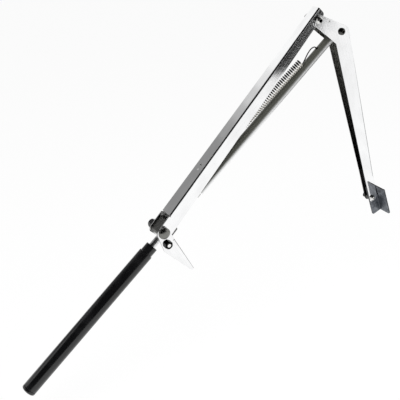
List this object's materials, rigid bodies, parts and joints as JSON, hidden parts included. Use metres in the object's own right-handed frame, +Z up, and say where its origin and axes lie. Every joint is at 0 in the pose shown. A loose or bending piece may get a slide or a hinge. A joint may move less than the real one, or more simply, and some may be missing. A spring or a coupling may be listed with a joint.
{
  "type": "automatic vent opener",
  "caption": "Heat-driven greenhouse vent opener: a black wax cylinder pushes a folding pair of bright steel channel arms open and a coil spring folds them shut.",
  "frame": {"origin": "middle of the frame bracket's screwed face", "axes": "+Z up, the arms lie in a plane of constant Y, -Y is the side of the bolt heads, +X from the cylinder to the window bracket"},
  "size_m": [0.6733, 0.0529, 0.5187],
  "materials": {
    "bright_zinc": "bright zinc plate",
    "bolt_steel": "bright steel",
    "black_lacquer": "gloss black",
    "blackened_steel": "blackened",
    "dull_steel": "dull grey plate",
    "spring_steel": "oiled spring steel",
    "cast_zinc": "die cast",
    "seal_rubber": "matt",
    "wax": "waxy"
  },
  "bodies": {
    "frame_bracket": {"frame_bracket": "bright_zinc", "lock_bolt": "bolt_steel"},
    "base": {"base_channel": "bright_zinc", "cylinder_receiver": "cast_zinc", "foot_bolt": "bolt_steel", "foot_nut": "blackened_steel", "foot_spacer": "bright_zinc", "cylinder_tube": "black_lacquer", "cylinder_end_plug": "black_lacquer", "cylinder_neck": "black_lacquer", "threaded_nipple": "bright_zinc", "lock_nut": "bright_zinc", "gland_seal": "seal_rubber", "wax_charge": "wax", "return_spring": "spring_steel"},
    "piston": {"piston_rod": "bolt_steel", "thrust_cap": "bolt_steel"},
    "lift_arm": {"lift_channel": "bright_zinc", "knee_bolt": "bolt_steel", "knee_nut": "bolt_steel", "knee_washer_front": "bright_zinc", "knee_washer_back": "bright_zinc", "knee_sleeve": "bright_zinc", "push_pin_bolt": "bolt_steel", "push_pin_nut": "bolt_steel", "window_bolt": "bolt_steel", "window_nut": "bolt_steel", "window_spacer": "bright_zinc"},
    "push_arm": {"push_tube": "bright_zinc", "push_plug": "bolt_steel", "push_spacer_front": "bright_zinc", "push_spacer_back": "bright_zinc"},
    "window_bracket": {"window_bracket": "dull_steel"}
  },
  "joints": [
    {"name": "base_swing", "type": "hinge", "parent": "frame_bracket", "child": "base", "pos_m": [-0.03415, 0.0071, 0.0439], "axis": [0, -1, 0], "range_deg": [-10, 20]},
    {"name": "lift_fold", "type": "hinge", "parent": "base", "child": "lift_arm", "pos_m": [0.23151, 0.0071, 0.32697], "axis": [0, -1, 0], "range_deg": [-53, 9], "deforming": ["return_spring"]},
    {"name": "push_swing", "type": "hinge", "parent": "lift_arm", "child": "push_arm", "pos_m": [0.27741, 0.0071, 0.30567], "axis": [0, -1, 0], "range_deg": [-9.2, 53.2]},
    {"name": "piston_slide", "type": "slide", "parent": "base", "child": "piston", "axis": [0.749, 0, 0.6626], "range_m": [-0.0454, 0.008]},
    {"name": "window_swing", "type": "hinge", "parent": "lift_arm", "child": "window_bracket", "pos_m": [0.38311, 0.0071, 0.00188], "axis": [0, 1, 0], "range_deg": [0, 80]}
  ],
  "couplings": [
    {"joint": "push_swing", "follows": "lift_fold", "ratio": -1},
    {"joint": "piston_slide", "follows": "lift_fold", "m_per_rad": 0.04864}
  ]
}
